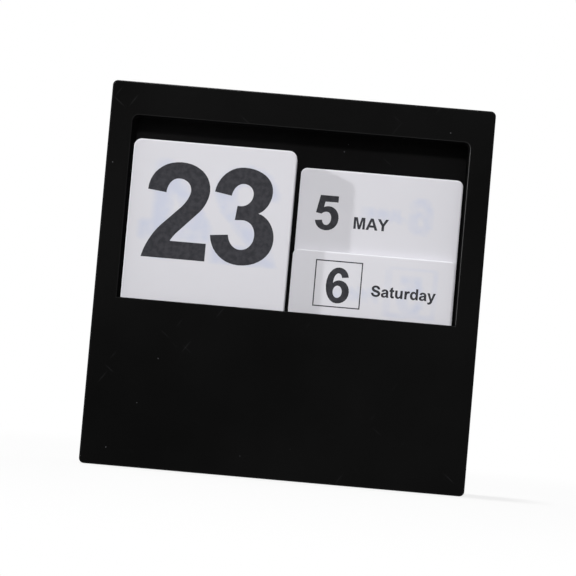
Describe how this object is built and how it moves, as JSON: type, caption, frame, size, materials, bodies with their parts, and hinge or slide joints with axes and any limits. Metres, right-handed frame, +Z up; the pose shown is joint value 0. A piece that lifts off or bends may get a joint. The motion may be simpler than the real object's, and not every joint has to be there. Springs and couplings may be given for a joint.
{
  "type": "perpetual desk calendar",
  "caption": "Square black self-standing perpetual calendar: a window over two open-topped pockets shows the front one of each deck of two-sided date, month and weekday cards.",
  "frame": {"origin": "middle of the bottom face, on the surface that the block stands on", "axes": "+Z up, front with the window facing -Y, +X to the right seen from the front"},
  "size_m": [0.15, 0.03, 0.15],
  "materials": {
    "black_board": "sanded board, sprayed matte black all over",
    "black_strip": "thin matte black plastic strip",
    "dowel_wood": "plain beech dowel, hidden in the glue joints",
    "black_screw": "black-coated steel",
    "card": "cool white semi-gloss plastic card, printed dark grey on both sides"
  },
  "bodies": {
    "block": {"front_frame": "black_board", "pocket_board": "black_board", "left_spacer": "black_board", "right_spacer": "black_board", "base_block": "black_board", "back_board": "black_board", "bay_divider": "black_strip", "frame_dowels": "dowel_wood", "pocket_dowels": "dowel_wood", "back_screws": "black_screw"},
    "date_card_01_02": {"date_card_01_02": "card"},
    "date_card_03_04": {"date_card_03_04": "card"},
    "date_card_05_06": {"date_card_05_06": "card"},
    "date_card_07_08": {"date_card_07_08": "card"},
    "date_card_09_10": {"date_card_09_10": "card"},
    "date_card_11_12": {"date_card_11_12": "card"},
    "date_card_13_14": {"date_card_13_14": "card"},
    "date_card_15_16": {"date_card_15_16": "card"},
    "date_card_17_18": {"date_card_17_18": "card"},
    "date_card_19_20": {"date_card_19_20": "card"},
    "date_card_21_22": {"date_card_21_22": "card"},
    "date_card_23_24": {"date_card_23_24": "card"},
    "date_card_25_26": {"date_card_25_26": "card"},
    "date_card_27_28": {"date_card_27_28": "card"},
    "date_card_29_30": {"date_card_29_30": "card"},
    "date_card_31": {"date_card_31": "card"},
    "month_card_01_02": {"month_card_01_02": "card"},
    "month_card_03_04": {"month_card_03_04": "card"},
    "month_card_05_06": {"month_card_05_06": "card"},
    "month_card_07_08": {"month_card_07_08": "card"},
    "month_card_09_10": {"month_card_09_10": "card"},
    "month_card_11_12": {"month_card_11_12": "card"},
    "weekday_card_1_2": {"weekday_card_1_2": "card"},
    "weekday_card_3_4": {"weekday_card_3_4": "card"},
    "weekday_card_5_6": {"weekday_card_5_6": "card"},
    "weekday_card_7": {"weekday_card_7": "card"}
  },
  "joints": [
    {"name": "date_card_01_02_lift", "type": "slide", "parent": "block", "child": "date_card_01_02", "axis": [0, 0, 1], "range_m": [0, 0.111]},
    {"name": "date_card_03_04_lift", "type": "slide", "parent": "block", "child": "date_card_03_04", "axis": [0, 0, 1], "range_m": [0, 0.111]},
    {"name": "date_card_05_06_lift", "type": "slide", "parent": "block", "child": "date_card_05_06", "axis": [0, 0, 1], "range_m": [0, 0.111]},
    {"name": "date_card_07_08_lift", "type": "slide", "parent": "block", "child": "date_card_07_08", "axis": [0, 0, 1], "range_m": [0, 0.111]},
    {"name": "date_card_09_10_lift", "type": "slide", "parent": "block", "child": "date_card_09_10", "axis": [0, 0, 1], "range_m": [0, 0.111]},
    {"name": "date_card_11_12_lift", "type": "slide", "parent": "block", "child": "date_card_11_12", "axis": [0, 0, 1], "range_m": [0, 0.111]},
    {"name": "date_card_13_14_lift", "type": "slide", "parent": "block", "child": "date_card_13_14", "axis": [0, 0, 1], "range_m": [0, 0.111]},
    {"name": "date_card_15_16_lift", "type": "slide", "parent": "block", "child": "date_card_15_16", "axis": [0, 0, 1], "range_m": [0, 0.111]},
    {"name": "date_card_17_18_lift", "type": "slide", "parent": "block", "child": "date_card_17_18", "axis": [0, 0, 1], "range_m": [0, 0.111]},
    {"name": "date_card_19_20_lift", "type": "slide", "parent": "block", "child": "date_card_19_20", "axis": [0, 0, 1], "range_m": [0, 0.111]},
    {"name": "date_card_21_22_lift", "type": "slide", "parent": "block", "child": "date_card_21_22", "axis": [0, 0, 1], "range_m": [0, 0.111]},
    {"name": "date_card_23_24_lift", "type": "slide", "parent": "block", "child": "date_card_23_24", "axis": [0, 0, 1], "range_m": [0, 0.111]},
    {"name": "date_card_25_26_lift", "type": "slide", "parent": "block", "child": "date_card_25_26", "axis": [0, 0, 1], "range_m": [0, 0.111]},
    {"name": "date_card_27_28_lift", "type": "slide", "parent": "block", "child": "date_card_27_28", "axis": [0, 0, 1], "range_m": [0, 0.111]},
    {"name": "date_card_29_30_lift", "type": "slide", "parent": "block", "child": "date_card_29_30", "axis": [0, 0, 1], "range_m": [0, 0.111]},
    {"name": "date_card_31_lift", "type": "slide", "parent": "block", "child": "date_card_31", "axis": [0, 0, 1], "range_m": [0, 0.111]},
    {"name": "month_card_01_02_lift", "type": "slide", "parent": "block", "child": "month_card_01_02", "axis": [0, 0, 1], "range_m": [0, 0.111]},
    {"name": "month_card_03_04_lift", "type": "slide", "parent": "block", "child": "month_card_03_04", "axis": [0, 0, 1], "range_m": [0, 0.111]},
    {"name": "month_card_05_06_lift", "type": "slide", "parent": "block", "child": "month_card_05_06", "axis": [0, 0, 1], "range_m": [0, 0.111]},
    {"name": "month_card_07_08_lift", "type": "slide", "parent": "block", "child": "month_card_07_08", "axis": [0, 0, 1], "range_m": [0, 0.111]},
    {"name": "month_card_09_10_lift", "type": "slide", "parent": "block", "child": "month_card_09_10", "axis": [0, 0, 1], "range_m": [0, 0.111]},
    {"name": "month_card_11_12_lift", "type": "slide", "parent": "block", "child": "month_card_11_12", "axis": [0, 0, 1], "range_m": [0, 0.111]},
    {"name": "weekday_card_1_2_lift", "type": "slide", "parent": "block", "child": "weekday_card_1_2", "axis": [0, 0, 1], "range_m": [0, 0.111]},
    {"name": "weekday_card_3_4_lift", "type": "slide", "parent": "block", "child": "weekday_card_3_4", "axis": [0, 0, 1], "range_m": [0, 0.111]},
    {"name": "weekday_card_5_6_lift", "type": "slide", "parent": "block", "child": "weekday_card_5_6", "axis": [0, 0, 1], "range_m": [0, 0.111]},
    {"name": "weekday_card_7_lift", "type": "slide", "parent": "block", "child": "weekday_card_7", "axis": [0, 0, 1], "range_m": [0, 0.111]}
  ]
}
